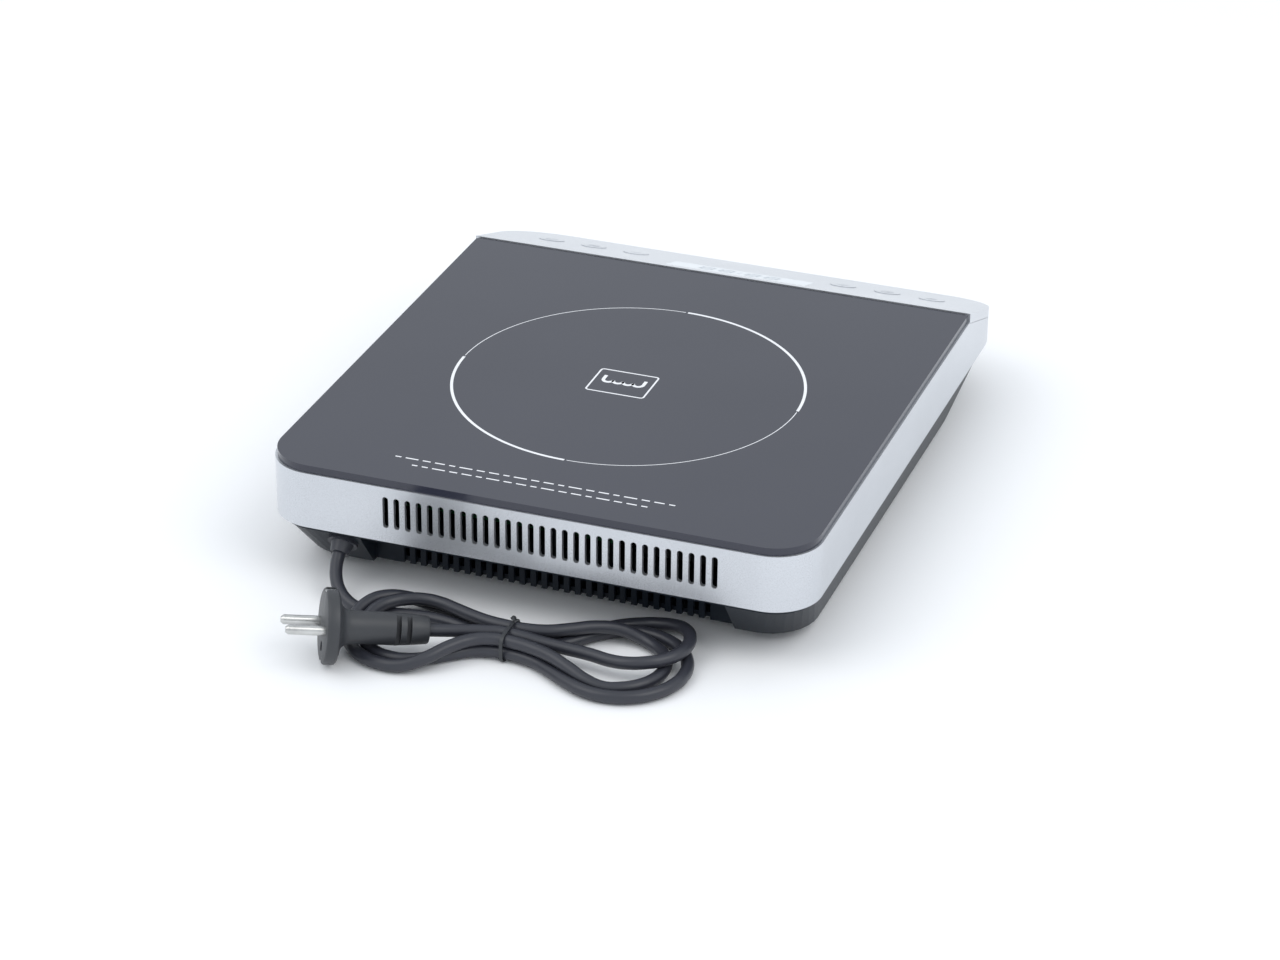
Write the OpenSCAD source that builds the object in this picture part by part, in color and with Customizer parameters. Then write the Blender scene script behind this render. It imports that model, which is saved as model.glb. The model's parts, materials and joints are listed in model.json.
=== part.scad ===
// Portable induction hob: one glass-ceramic cooking zone on a silver upper
// housing and a black vented base tub, with a fan-cooled coil and power board
// inside and a moulded mains cord tied in a hank behind it.
// Millimetres. +Z is up, -Y is the control panel at the front, +Y is the back
// where the cord leaves. Origin: centre of the housing's box, on the floor.

/* [Housing] */
// Width of the silver housing
body_w = 282; // [276:1:300]
// Depth of the silver housing
body_d = 348; // [344:1:360]
// Height of the cooking surface above the floor
top_z = 65; // [63:1:70]
// Height of the lower edge of the silver band
band_z = 31; // [29:1:33]
// Wall thickness of the moulded shells
wall = 2.4; // [2:0.1:3]
// Corner radius of the housing at the back
back_r = 24; // [20:1:28]
// Corner radius of the housing at the front
front_r = 30; // [24:1:34]

/* [Cooking plate] */
// Side of the square glass plate
glass_w = 280; // [274:1:281]
// Thickness of the glass plate
glass_t = 4; // [3:0.5:4.5]
// Diameter of the coil winding
coil_d = 168; // [150:2:172]

/* [Control panel] */
// Downward slope of the panel towards the front, in degrees
panel_slope = 19.3; // [17:0.1:20]
// Depth of the panel seen from above
panel_d = 66.3; // [64:0.1:68]
// Travel of each push key
key_travel = 0.5; // [0.3:0.1:0.5]
// Diameter of each push key
key_d = 14; // [11:0.5:15]

/* [Vents] */
// Number of slots in the back of the silver band
slot_count = 30; // [20:1:30]
// Centre distance of the slots
slot_pitch = 5.83; // [5.5:0.01:5.9]
// Width of one slot
slot_w = 3; // [2:0.1:3.2]

/* [Base tub] */
// Height of the tub's underside above the floor
tub_z = 7; // [6:0.5:8]
// Half width of the tub at its underside
tub_half_w = 133.3; // [130:0.1:135]
// Back edge of the tub's underside
tub_back_y = 154; // [150:1:156]

/* [Fan] */
// Side of the square fan frame
fan_w = 92; // [88:1:92]
// Height of the fan frame
fan_h = 25; // [20:1:25]
// Number of fan blades
blade_count = 7; // [5:1:9]

/* [Mains cord] */
// Diameter of the cord
cord_d = 6.4; // [5.8:0.1:7]
// Diameter of the plug's face
plug_d = 37; // [36:0.5:38]

/* [Hidden] */
$fn = 48;
HULL_FN = 32;
EPS = 0.01;

// --- derived places ---
back_y = body_d / 2;
front_y = -body_d / 2;
glass_z = top_z - glass_t;
glass_cy = back_y - 1 - glass_w / 2;       // the plate sits 1 mm inside the band
glass_front_y = glass_cy - glass_w / 2;
seal_t = 0.6;
flange_z = glass_z - seal_t;               // top of the flange under the plate
flange_w = 15;
panel_y = front_y + panel_d;               // rear edge of the control panel
panel_z = top_z + 0.7;                     // stands a little proud of the glass
panel_side = 5.5;                          // height of the panel cap's side wall
shadow_gap = 0.2;
floor_z = tub_z + wall;                    // inner floor of the tub
tub_front_y = -120;
block_r_x = -99;                           // inner edges of the two corner blocks
block_l_x = 90;
recess = 4;                                // depth of the vented wall between them
vent_mid_x = -10.4;
vent_low_x = -5;
key_x = [60, 85, 110];
key_v = -38;
key_proud = 0.3;                           // height of a key above the panel
lamp_v = -22;
plunger_v = 4.9;                           // depth of a key's plunger below the panel
board_x0 = -24;  board_x1 = 112;
board_y0 = -4;   board_y1 = 112;
board_z = 17;    board_t = 1.6;
parts_z = board_z + board_t;
board_holes = [[-18, 2], [106, 2], [-18, 106], [106, 106]];
case_posts = [[-124, 118], [124, 118], [-124, -90], [124, -90], [-50, -108], [50, -108]];
feet_at = [[-108, 124], [108, 124], [-108, -72], [108, -72]];
coil_z = 49;     coil_t = 6;
carrier_z = 44;  carrier_t = 5;
carrier_r = 92;
pad_z = 38;
coil_post = [[98, 12], [98, 26]];
lead_d = 2.6;                              // sleeved sensor and fan leads
lug_r = 98;
lug_angles = [90, 210, 330];
fan_x = -78;     fan_y = 62;     fan_z = 12;
fan_hole = 41.25;
fan_bore_r = fan_w / 2 - 2;
shaft_r = 1.5;
ctl_w = -9;                                // top face of the control board, below the panel
ctl_t = 1.6;
tab_at = [[-128, -14], [128, -14], [-128, -44], [128, -44]];
ctl_holes = [[-72, -20], [72, -20], [-72, -54], [72, -54]];
// cord
gland_x = 101;
gland_z = 22;
tub_top_y = back_y - 1.6;
gland_y = tub_back_y + (tub_top_y - tub_back_y) * (gland_z - tub_z) / (band_z - tub_z);
wall_tilt = atan2(tub_top_y - tub_back_y, band_z - tub_z);
gland_tip = 7;                             // length of the relief outside the wall
gland_dir = [0, cos(wall_tilt), -sin(wall_tilt)];
clamp_y = 134;
entry_z = 31;
plug_face = [78.3, 241, 19.3];             // centre of the plug's face
plug_turn = 30;
plug_tilt = 8;
plug_roll = 15;
plug_len = 51;
waist = [-2, 203];
hank_low = 0.6;                            // the tie passes under the strands
lead_route = [[100.1, 176.4, 14.1], [97.5, 182.6, 10.3], [93.4, 187.9, 7.4], [88.1, 192, 5.3],
              [81.9, 194.6, 4], [73.6, 195.2, 3.7]];
tail_route = [[25, 210.9, 11.3], [18, 207.9, 11], [9.8, 205.1, 10.9]];
plug_dir = [cos(plug_tilt) * cos(plug_turn), cos(plug_tilt) * sin(plug_turn), sin(plug_tilt)];

// --- shared shapes ---
// Rounded outline made of rectangles and corner discs
module outline(half_w, y0, y1, rb, rf) {
    translate([-half_w, y0 + rf]) square([2 * half_w, y1 - y0 - rb - rf]);
    translate([-half_w + rf, y0]) square([2 * (half_w - rf), rf + 1]);
    translate([-half_w + rb, y1 - rb - 1]) square([2 * (half_w - rb), rb + 1]);
    for (s = [-1, 1]) {
        translate([s * (half_w - rf), y0 + rf]) circle(rf);
        translate([s * (half_w - rb), y1 - rb]) circle(rb);
    }
}
// Housing outline moved inwards by inset
module body_outline(inset) {
    outline(body_w / 2 - inset, front_y + inset, back_y - inset, back_r - inset, front_r - inset);
}
module prism(z0, z1) { translate([0, 0, z0]) linear_extrude(z1 - z0) children(); }
module at_each(places, z) { for (p = places) translate([p[0], p[1], z]) children(); }
module box(x0, x1, y0, y1, z0, z1) { translate([x0, y0, z0]) cube([x1 - x0, y1 - y0, z1 - z0]); }
// Screw with its head's underside at the origin and its shank down
module screw(d, len, head_d, head_h) {
    translate([0, 0, -len]) cylinder(h = len, d = d);
    difference() {
        cylinder(h = head_h, d = head_d);
        translate([-head_d * 0.32, -0.4, head_h - 0.7]) cube([head_d * 0.64, 0.8, 1]);
        translate([-0.4, -head_d * 0.32, head_h - 0.7]) cube([0.8, head_d * 0.64, 1]);
    }
}
// Frame of the sloping panel: y runs up the slope from its rear edge, z is its normal
module on_panel() { translate([0, panel_y, panel_z]) rotate([panel_slope, 0, 0]) children(); }
// Frame of the cord's gland: z points out of the sloping back wall
module on_gland() { translate([gland_x, gland_y, gland_z]) rotate([-90 - wall_tilt, 0, 0]) children(); }
// Frame of the plug: x points out of the plug's face
module on_plug() {
    translate(plug_face) rotate([0, -plug_tilt, plug_turn]) rotate([plug_roll, 0, 0]) children();
}
// Everything under a plane that starts drop below the panel's rear edge
module under_panel(drop, y_in) {
    x = body_w / 2 + 10;
    y1 = panel_y - y_in;
    y0 = front_y - 10;
    z1 = panel_z - drop - y_in * tan(panel_slope);
    z0 = z1 - (y1 - y0) * tan(panel_slope);
    translate([-x, 0, 0]) rotate([90, 0, 90]) linear_extrude(2 * x)
        polygon([[y0, 0], [y1, 0], [y1, z1], [y0, z0]]);
}

// --- swept tubes ---
function unit(v) = v / norm(v);
function spline(a, b, c, d, t) =
    0.5 * ((2 * b) + (c - a) * t + (2 * a - 5 * b + 4 * c - d) * t * t
           + (3 * b - a - 3 * c + d) * t * t * t);
function knot(p, i) = i < 0 ? 2 * p[0] - p[1]
    : i >= len(p) ? 2 * p[len(p) - 1] - p[len(p) - 2] : p[i];
function smooth(p, n) = concat(
    [for (i = [0:len(p) - 2], k = [0:n - 1])
        spline(knot(p, i - 1), p[i], p[i + 1], knot(p, i + 2), k / n)],
    [p[len(p) - 1]]);
function heading(p, i) = unit(p[min(i + 1, len(p) - 1)] - p[max(i - 1, 0)]);
// Tube of diameter d along the points p; side is any direction that p never runs along
module tube(p, d, sides, side) {
    n = len(p);
    pts = [for (i = [0:n - 1], k = [0:sides - 1])
        let (t = heading(p, i), u = unit(cross(t, side)), v = cross(t, u), a = 360 * k / sides)
        p[i] + d / 2 * (cos(a) * u + sin(a) * v)];
    skin = [for (i = [0:n - 2], k = [0:sides - 1], half = [0, 1])
        let (a = i * sides + k, b = i * sides + (k + 1) % sides)
        half == 0 ? [a, b, b + sides] : [a, b + sides, a + sides]];
    ends = [[for (k = [sides - 1:-1:0]) k], [for (k = [0:sides - 1]) (n - 1) * sides + k]];
    polyhedron(pts, concat(skin, ends));
}

// --- cooking plate ---
module glass_plate() {
    color([0.20, 0.21, 0.24]) prism(glass_z, top_z)
        outline(glass_w / 2, glass_front_y, glass_front_y + glass_w, back_r - 0.5, 2);
}
module glass_seal() {
    inner = glass_w / 2 - 9;
    color([0.12, 0.12, 0.13]) prism(flange_z, glass_z) difference() {
        outline(glass_w / 2 - 2.2, glass_front_y + 1, glass_front_y + glass_w - 2.2, back_r - 2.7, 2);
        outline(inner, glass_front_y + 9, glass_front_y + glass_w - 9, 14, 2);
    }
}

// --- upper housing ---
module back_slots() {
    z0 = glass_z - 22.2;
    z1 = glass_z - 5.2;
    r = slot_w / 2;
    for (i = [0:slot_count - 1]) {
        x = vent_mid_x + (i - (slot_count - 1) / 2) * slot_pitch;
        box(x - r, x + r, back_y - wall - 1, back_y + 1, z0 + r, z1 - r);
        for (z = [z0 + r, z1 - r])
            translate([x, back_y - wall - 1, z]) rotate([-90, 0, 0]) cylinder(h = wall + 2, r = r);
    }
}
module housing_shell() {
    // wall of the band, cut down under the sloping panel
    difference() {
        prism(band_z, glass_z - 0.1) difference() { body_outline(0); body_outline(wall); }
        back_slots();
        panel_room(panel_side + shadow_gap);
    }
    // flange that carries the glass plate
    difference() {
        prism(flange_z - wall, flange_z) difference() {
            body_outline(wall - 0.3);
            outline(body_w / 2 - wall - flange_w, glass_front_y + flange_w,
                    back_y - wall - flange_w, back_r - 8, 6);
        }
        box(-body_w, body_w, front_y - 1, panel_y + 0.4, flange_z - wall - 1, flange_z + 1);
    }
    // cross wall between the cooking zone and the panel
    box(-body_w / 2 + wall - 0.3, body_w / 2 - wall + 0.3, panel_y + 0.4, panel_y + 0.4 + wall,
        flange_z - 14, flange_z - 0.5);
}
// Space above a plane that lies drop under the panel's surface, in front of its rear edge
module panel_room(drop) {
    difference() {
        box(-body_w, body_w, front_y - 5, panel_y + 0.4, band_z - 5, top_z + 5);
        under_panel(drop, -1);
    }
}
module housing_tabs() {
    for (t = tab_at)
        intersection() {
            on_panel() translate([t[0] > 0 ? t[0] - 5 : t[0] - 12, t[1] - 5, -10.4])
                difference() {
                    cube([17, 10, wall]);
                    translate([t[0] > 0 ? 5 : 12, 5, -1]) cylinder(h = 5, r = 1.7);
                }
            prism(band_z, glass_z) body_outline(wall - 0.5);
        }
}
module top_housing() {
    color([0.78, 0.80, 0.84]) {
        difference() {
            union() {
                housing_shell();
                // screw posts down to the tub
                at_each(case_posts, floor_z + 3.6)
                    cylinder(h = flange_z - wall / 2 - floor_z - 3.6, r = 4.5);
            }
            at_each(case_posts, floor_z) cylinder(h = 20, r = 1.75);
        }
        housing_tabs();
    }
}

// --- control panel ---
module panel_shell(inset, drop, depth) {
    intersection() {
        prism(band_z - 5, top_z + 5) body_outline(inset);
        difference() {
            under_panel(drop, inset);
            under_panel(drop + depth, inset - 1);
        }
    }
}
window_w = 80;  window_h = 22;  window_t = 1.6;
window_x = -6.5;  window_v = -19;
module control_panel() {
    skin_v = 2.6 / cos(panel_slope);
    color([0.80, 0.82, 0.86]) difference() {
        union() {
            difference() {
                panel_shell(0, 0, panel_side);
                panel_shell(wall, skin_v, panel_side);
            }
            on_panel() {
                at_each(tab_at, -7.9) cylinder(h = 6, r = 3.4);
                at_each(ctl_holes, ctl_w) cylinder(h = -ctl_w - 2, r = 3);
            }
        }
        on_panel() {
            for (s = [-1, 1], x = key_x) {
                translate([s * x, key_v, -5]) cylinder(h = 8, r = key_d / 2 + 0.2);
                translate([s * x, lamp_v, -5]) cylinder(h = 8, r = 1.5);
            }
            translate([window_x - window_w / 2, window_v - window_h / 2, -window_t])
                cube([window_w, window_h, 5]);
            translate([window_x - window_w / 2 + 3, window_v - window_h / 2 + 3, -5])
                cube([window_w - 6, window_h - 6, 8]);
            at_each(tab_at, -8.5) cylinder(h = 5.5, r = 1.45);
            at_each(ctl_holes, ctl_w - 0.5) cylinder(h = 6.5, r = 1.25);
        }
    }
}
module display_window() {
    color([0.45, 0.52, 0.58]) on_panel()
        translate([window_x - window_w / 2 + 0.1, window_v - window_h / 2 + 0.1, -window_t])
            cube([window_w - 0.2, window_h - 0.2, window_t]);
}
// Push key: cap, retaining flange under the panel and plunger over its switch
module key(x) {
    color([0.78, 0.80, 0.84]) on_panel() translate([x, key_v, 0]) {
        translate([0, 0, -3]) cylinder(h = 3 + key_proud, r = key_d / 2);
        translate([0, 0, -3.9]) cylinder(h = 1, r = key_d / 2 + 1.5);
        translate([0, 0, -plunger_v]) cylinder(h = 1.5, r = 1.8);
    }
}
module power_key() { key(key_x[2]); }
module mode_key() { key(key_x[1]); }
module minus_key() { key(key_x[0]); }
module plus_key() { key(-key_x[0]); }
module timer_key() { key(-key_x[1]); }
module lock_key() { key(-key_x[2]); }
module light_pipes() {
    color([0.9, 0.9, 0.85]) on_panel() for (s = [-1, 1], x = key_x)
        translate([s * x, lamp_v, 0]) {
            translate([0, 0, -2.7]) cylinder(h = 2.7, r = 1.45);
            translate([0, 0, -3.6]) cylinder(h = 1, r = 2.5);
        }
}
module panel_screws() {
    color([0.6, 0.6, 0.62]) on_panel() at_each(tab_at, -10.4) rotate([180, 0, 0])
        screw(2.8, 6.4, 5.6, 1.8);
}

// --- base tub ---
// Solid inside the tub's outline; inset moves every face inwards
module tub_body(inset, z_top) {
    hull() {
        prism(z_top, z_top + EPS)
            outline(body_w / 2 - 1.6 - inset, front_y + 1.6 + inset, tub_top_y - inset,
                    22.4 - inset, 28.4 - inset, $fn = HULL_FN);
        prism(tub_z + inset, tub_z + inset + EPS)
            outline(tub_half_w - inset * 0.8, tub_front_y + inset * 0.4, tub_back_y - inset * 0.5,
                    25 - inset, 25 - inset, $fn = HULL_FN);
    }
}
// Room behind the recessed vented wall, moved inwards by inset
module recess_room(x0, x1, inset) {
    box(x0, x1, tub_back_y - recess - inset, tub_top_y + 20, tub_z - 2, band_z - wall + inset);
}
module tub_shell() {
    difference() {
        tub_body(0, band_z - EPS);
        recess_room(block_r_x, block_l_x, 0);
        difference() {
            tub_body(wall, band_z);
            recess_room(block_r_x - wall, block_l_x + wall, wall);
        }
    }
    // lip that stands inside the band
    prism(band_z - wall, band_z + 5) difference() {
        body_outline(wall + 0.3);
        body_outline(wall + 2.3);
    }
}
module back_vents() {
    count = slot_count - 2;
    y = tub_back_y - recess;
    for (i = [0:count - 1]) {
        x = vent_low_x + (i - (count - 1) / 2) * slot_pitch;
        box(x - slot_w / 2, x + slot_w / 2, y - wall - 0.2, y + 1, tub_z - 1, band_z - 6);
    }
}
module intake_slots() {
    translate([fan_x, fan_y, 0]) intersection() {
        for (i = [-6:6]) translate([-fan_w / 2, i * 6 - 1.5, tub_z - 1]) cube([fan_w, 3, 5]);
        difference() {
            translate([0, 0, tub_z - 2]) cylinder(h = 8, r = 41);
            translate([-2, -50, tub_z - 3]) cube([4, 100, 9]);
        }
    }
}
module tub_bosses() {
    difference() {
        union() {
            at_each(case_posts, tub_z + 1) cylinder(h = wall + 2.6, r = 6);
            at_each(board_holes, tub_z + 1) cylinder(h = board_z - tub_z - 1, r = 3.5);
            for (sx = [-1, 1], sy = [-1, 1])
                translate([fan_x + sx * fan_hole, fan_y + sy * fan_hole, tub_z + 1])
                    cylinder(h = fan_z - tub_z - 1, r = 4.2);
            for (a = lug_angles)
                translate([lug_r * cos(a), glass_cy + lug_r * sin(a), tub_z + 1])
                    cylinder(h = pad_z - tub_z - 1, r = 5);
            // posts and saddle under the cord clamp
            for (s = [-1, 1]) translate([gland_x + s * 11, clamp_y, tub_z + 1])
                cylinder(h = entry_z + cord_d / 2 - tub_z - 1, r = 3.6);
            box(gland_x - 11, gland_x + 11, clamp_y - 2, clamp_y + 2, tub_z + 1, entry_z - cord_d / 2);
        }
        at_each(board_holes, board_z - 6) cylinder(h = 10, r = 1.5);
        for (sx = [-1, 1], sy = [-1, 1])
            translate([fan_x + sx * fan_hole, fan_y + sy * fan_hole, tub_z + 1.4])
                cylinder(h = 10, r = 1.75);
        for (a = lug_angles)
            translate([lug_r * cos(a), glass_cy + lug_r * sin(a), pad_z - 13]) cylinder(h = 20, r = 1.95);
        for (s = [-1, 1]) translate([gland_x + s * 11, clamp_y, entry_z - 8]) cylinder(h = 20, r = 1.45);
    }
}
module base_tub() {
    color([0.10, 0.11, 0.12]) difference() {
        union() {
            tub_shell();
            tub_bosses();
        }
        back_vents();
        intake_slots();
        at_each(case_posts, tub_z - 1) cylinder(h = 4.2, r = 3.8);
        at_each(case_posts, tub_z) cylinder(h = 10, r = 1.9);
        at_each(feet_at, tub_z - 1) cylinder(h = 6, r = 3.05);
        on_gland() translate([0, 0, -8]) cylinder(h = 12, r = 6.05);
    }
}
module rubber_feet() {
    color([0.08, 0.08, 0.08]) at_each(feet_at, 0) {
        difference() {
            cylinder(h = tub_z, r1 = 10, r2 = 11);
            translate([0, 0, -1]) cylinder(h = 2.5, r = 6);
        }
        translate([0, 0, tub_z - 0.5]) cylinder(h = wall + 0.6, r = 3);
        translate([0, 0, floor_z + 0.1]) cylinder(h = 1.6, r1 = 3.7, r2 = 2.6);
    }
}
module case_screws() {
    color([0.55, 0.56, 0.58]) at_each(case_posts, tub_z + 3.2) rotate([180, 0, 0])
        screw(3.4, 18, 7, 2.5);
}
module rating_plate() {
    color([0.7, 0.7, 0.72]) box(-32, 32, -74, -44, tub_z - 0.4, tub_z);
}

// --- coil ---
module coil_carrier() {
    hub_r = 24;
    color([0.85, 0.82, 0.74]) translate([0, glass_cy, carrier_z]) difference() {
        union() {
            cylinder(h = carrier_t, r = hub_r);
            difference() {
                cylinder(h = carrier_t, r = carrier_r);
                translate([0, 0, -1]) cylinder(h = carrier_t + 2, r = carrier_r - 4);
            }
            for (a = [22.5:45:360]) rotate(a) translate([hub_r - 3, -6, 0])
                cube([carrier_r - hub_r, 12, carrier_t]);
            for (a = lug_angles) rotate(a) translate([carrier_r - 3, -8, 0])
                cube([lug_r - carrier_r + 10, 16, carrier_t]);
        }
        translate([0, 0, -1]) cylinder(h = carrier_t + 2, r = 6.1);
        for (a = lug_angles) rotate(a) translate([lug_r, 0, -1]) cylinder(h = carrier_t + 2, r = 2.1);
    }
}
// Flat litz winding; the grooves mark its turns
module coil_winding() {
    turns = 14;
    r0 = 26;
    pitch = (coil_d / 2 - r0) / turns;
    color([0.72, 0.40, 0.22]) translate([0, glass_cy, coil_z]) rotate_extrude($fn = 96)
        polygon(concat([[r0, 0]], [[coil_d / 2, 0]],
            [for (i = [turns - 1:-1:0], k = [0:2])
                [r0 + (i + [1, 0.5, 0][k]) * pitch, k == 1 ? coil_t : coil_t - 1.2]]));
}
module ferrite_bars() {
    color([0.22, 0.21, 0.21]) translate([0, glass_cy, carrier_z - 4])
        for (a = [22.5:45:360]) rotate(a) translate([28, -5, 0]) cube([52, 10, 4]);
}
module mica_sheet() {
    color([0.80, 0.76, 0.66]) translate([0, glass_cy, coil_z + coil_t]) difference() {
        cylinder(h = 0.5, d = coil_d + 8);
        translate([0, 0, -1]) cylinder(h = 3, r = 7.5);
    }
}
module thermal_sensor() {
    color([0.92, 0.90, 0.86]) translate([0, glass_cy, 0]) {
        translate([0, 0, carrier_z - 2]) cylinder(h = 10, r = 6);
        translate([0, 0, carrier_z + carrier_t]) cylinder(h = 1.5, r = 8);
        translate([0, 0, carrier_z + 7]) cylinder(h = glass_z - carrier_z - 7.1, r = 5);
    }
}
// Sleeved leads of the thermal sensor and of the fan, down to the board
module signal_leads() {
    color([0.75, 0.2, 0.15]) {
        tube(smooth([[0, glass_cy, carrier_z - 2.5], [2, glass_cy - 5, 40], [14, 15, 39.4],
            [36, 7, 35], [44, 4, parts_z + 8.1]], 4), lead_d, 8, [1, 0.5, 0]);
        tube(smooth([[fan_x + fan_w / 2 + 1.2, 91, 20], [fan_x + fan_w / 2 + 4, 91, 24],
            [-21, 91, 31], [-18, 91, parts_z + 7.1]], 4), lead_d, 8, [0, 1, 0]);
    }
}
module coil_pads() {
    color([0.15, 0.15, 0.15]) for (a = lug_angles)
        translate([lug_r * cos(a), glass_cy + lug_r * sin(a), pad_z]) difference() {
            cylinder(h = carrier_z - pad_z, r = 6);
            translate([0, 0, -1]) cylinder(h = 10, r = 2.2);
        }
}
module coil_screws() {
    color([0.7, 0.7, 0.72]) for (a = lug_angles)
        translate([lug_r * cos(a), glass_cy + lug_r * sin(a), carrier_z + carrier_t]) screw(3.8, 22, 8, 2.6);
}
module coil_leads() {
    color([0.85, 0.82, 0.78]) {
        tube(smooth([[64, 22, coil_z - 0.4], [66, 21.5, 42], [76, 18, 36.5], [90, 13.5, 36],
            [97, 12.2, 33], [98, 12, parts_z + 13]], 4), 3.6, 8, [0, 1, 0.2]);
        tube(smooth([[70, 40, coil_z - 0.4], [72, 39.5, 42], [82, 35, 37], [93, 28, 36],
            [97.4, 26.3, 33], [98, 26, parts_z + 13]], 4), 3.6, 8, [0, 1, 0.2]);
    }
}

// --- power board ---
module power_board() {
    color([0.15, 0.38, 0.22]) difference() {
        box(board_x0, board_x1, board_y0, board_y1, board_z, parts_z);
        at_each(board_holes, board_z - 1) cylinder(h = 5, r = 1.7);
    }
}
module board_screws() {
    color([0.7, 0.7, 0.72]) at_each(board_holes, parts_z) screw(2.9, 7, 5.6, 1.9);
}
sink = [-20, 44, 20, 84];
sink_z = 24;
module heatsink() {
    fins = 11;
    step = (sink[1] - sink[0] - 1.4) / (fins - 1);
    color([0.75, 0.76, 0.78]) {
        box(sink[0], sink[1], sink[2], sink[3], sink_z, sink_z + 3);
        for (i = [0:fins - 1])
            box(sink[0] + i * step, sink[0] + i * step + 1.4, sink[2], sink[3], sink_z + 2.5, 38);
        for (x = [sink[0] + 4, sink[1] - 4], y = [sink[2] + 4, sink[3] - 4])
            translate([x, y, parts_z]) cylinder(h = sink_z - parts_z + 0.5, r = 1.5);
    }
}
// Flat power package lying under the heatsink with its three legs bent to the board
module power_package(x, y, w, d) {
    box(x - w / 2, x + w / 2, y - d / 2, y + d / 2, sink_z - 4.6, sink_z);
    for (i = [-1:1]) {
        box(x + i * 5 - 0.6, x + i * 5 + 0.6, y + d / 2 - 0.5, y + d / 2 + 5, sink_z - 2.6, sink_z - 1.8);
        box(x + i * 5 - 0.6, x + i * 5 + 0.6, y + d / 2 + 4, y + d / 2 + 5, parts_z, sink_z - 1.8);
    }
}
module power_transistor() { color([0.1, 0.1, 0.1]) power_package(2, 50, 16, 21); }
module rectifier_bridge() { color([0.12, 0.12, 0.12]) power_package(26, 50, 17, 19); }
module film_capacitors() {
    color([0.82, 0.30, 0.22]) {
        box(50, 82, 64, 77, parts_z, parts_z + 19);
        box(50, 82, 80, 93, parts_z, parts_z + 19);
        box(86, 110, 66, 75, parts_z, parts_z + 16);
    }
}
module bulk_capacitor() {
    color([0.15, 0.18, 0.35]) translate([58, 102, parts_z]) cylinder(h = 19, r = 5);
}
module filter_choke() {
    color([0.78, 0.45, 0.25]) translate([95, 46, parts_z]) difference() {
        cylinder(h = 13, r = 14);
        translate([0, 0, -1]) cylinder(h = 15, r = 6);
    }
}
module standby_transformer() {
    color([0.85, 0.75, 0.25]) {
        box(52, 72, 4, 14, parts_z, parts_z + 15);
        box(54, 70, 2, 16, parts_z + 3, parts_z + 12);
    }
}
module buzzer() {
    color([0.08, 0.08, 0.08]) translate([6, 98, parts_z]) difference() {
        cylinder(h = 7, r = 6);
        translate([0, 0, 5]) cylinder(h = 3, r = 1);
    }
}
module fuse() {
    color([0.8, 0.85, 0.88]) {
        translate([87, 84, parts_z + 5]) rotate([0, 90, 0]) cylinder(h = 20, r = 2.6);
        for (x = [86, 105]) box(x, x + 3, 81, 87, parts_z, parts_z + 8);
    }
}
module mains_terminal() {
    color([0.3, 0.5, 0.35]) difference() {
        box(85, 109, 91, 101, parts_z, parts_z + 12);
        for (x = [90, 97, 104]) translate([x, 96, parts_z + 5]) cylinder(h = 10, r = 2);
    }
}
module coil_terminals() {
    color([0.8, 0.65, 0.35]) at_each(coil_post, parts_z) {
        cylinder(h = 10, r = 3.2);
        cylinder(h = 13, r = 1.6);
    }
}
module board_connectors() {
    color([0.93, 0.93, 0.9]) {
        box(10, 34, -1, 5, parts_z, parts_z + 7);
        box(38, 50, 1, 7, parts_z, parts_z + 7.9);
        box(-22, -14, 88, 95, parts_z, parts_z + 7);
    }
}

// --- fan ---
module fan_frame() {
    color([0.08, 0.08, 0.09]) translate([fan_x, fan_y, fan_z]) difference() {
        union() {
            difference() {
                translate([-fan_w / 2, -fan_w / 2, 0]) cube([fan_w, fan_w, fan_h]);
                translate([0, 0, -1]) cylinder(h = fan_h + 2, r = fan_bore_r, $fn = 96);
            }
            for (a = [45:90:135]) rotate(a) translate([-fan_bore_r - 4, -3, 0.5])
                cube([2 * fan_bore_r + 8, 6, 2]);
            cylinder(h = 3, r = 19);
            cylinder(h = 17, r = 4);
        }
        for (sx = [-1, 1], sy = [-1, 1]) translate([sx * fan_hole, sy * fan_hole, -1])
            cylinder(h = fan_h + 2, r = 2.15);
        translate([0, 0, -1]) cylinder(h = 20, r = shaft_r + 0.05);
    }
}
module fan_stator() {
    color([0.7, 0.42, 0.25]) translate([fan_x, fan_y, fan_z + 4]) {
        difference() {
            union() {
                cylinder(h = 9, r = 7);
                for (a = [0:90:270]) rotate(a) {
                    translate([5, -3, 0]) cube([7, 6, 9]);
                    translate([11, -6, 0]) cube([2, 12, 9]);
                }
            }
            translate([0, 0, -1]) cylinder(h = 12, r = 4);
        }
    }
}
module fan_rotor() {
    hub_r = 17;
    tip_r = fan_bore_r - 1.5;
    color([0.12, 0.12, 0.13]) translate([fan_x, fan_y, fan_z]) {
        difference() {
            translate([0, 0, 4]) cylinder(h = 19, r = hub_r);
            translate([0, 0, 3]) cylinder(h = 18, r = hub_r - 1.8);
        }
        translate([0, 0, 1.5]) cylinder(h = 20, r = shaft_r);
        intersection() {
            difference() {
                translate([0, 0, 4]) cylinder(h = 18, r = tip_r);
                translate([0, 0, 3]) cylinder(h = 20, r = hub_r - 0.5);
            }
            for (i = [0:blade_count - 1]) rotate(i * 360 / blade_count)
                translate([0, 0, 13]) rotate([38, 0, 0]) translate([hub_r - 2, -13, -0.8])
                    cube([tip_r, 26, 1.6]);
        }
    }
}
module fan_screws() {
    color([0.7, 0.7, 0.72]) for (sx = [-1, 1], sy = [-1, 1])
        translate([fan_x + sx * fan_hole, fan_y + sy * fan_hole, fan_z + fan_h])
            screw(3.4, fan_h + 2.4, 6.4, 2);
}

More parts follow.
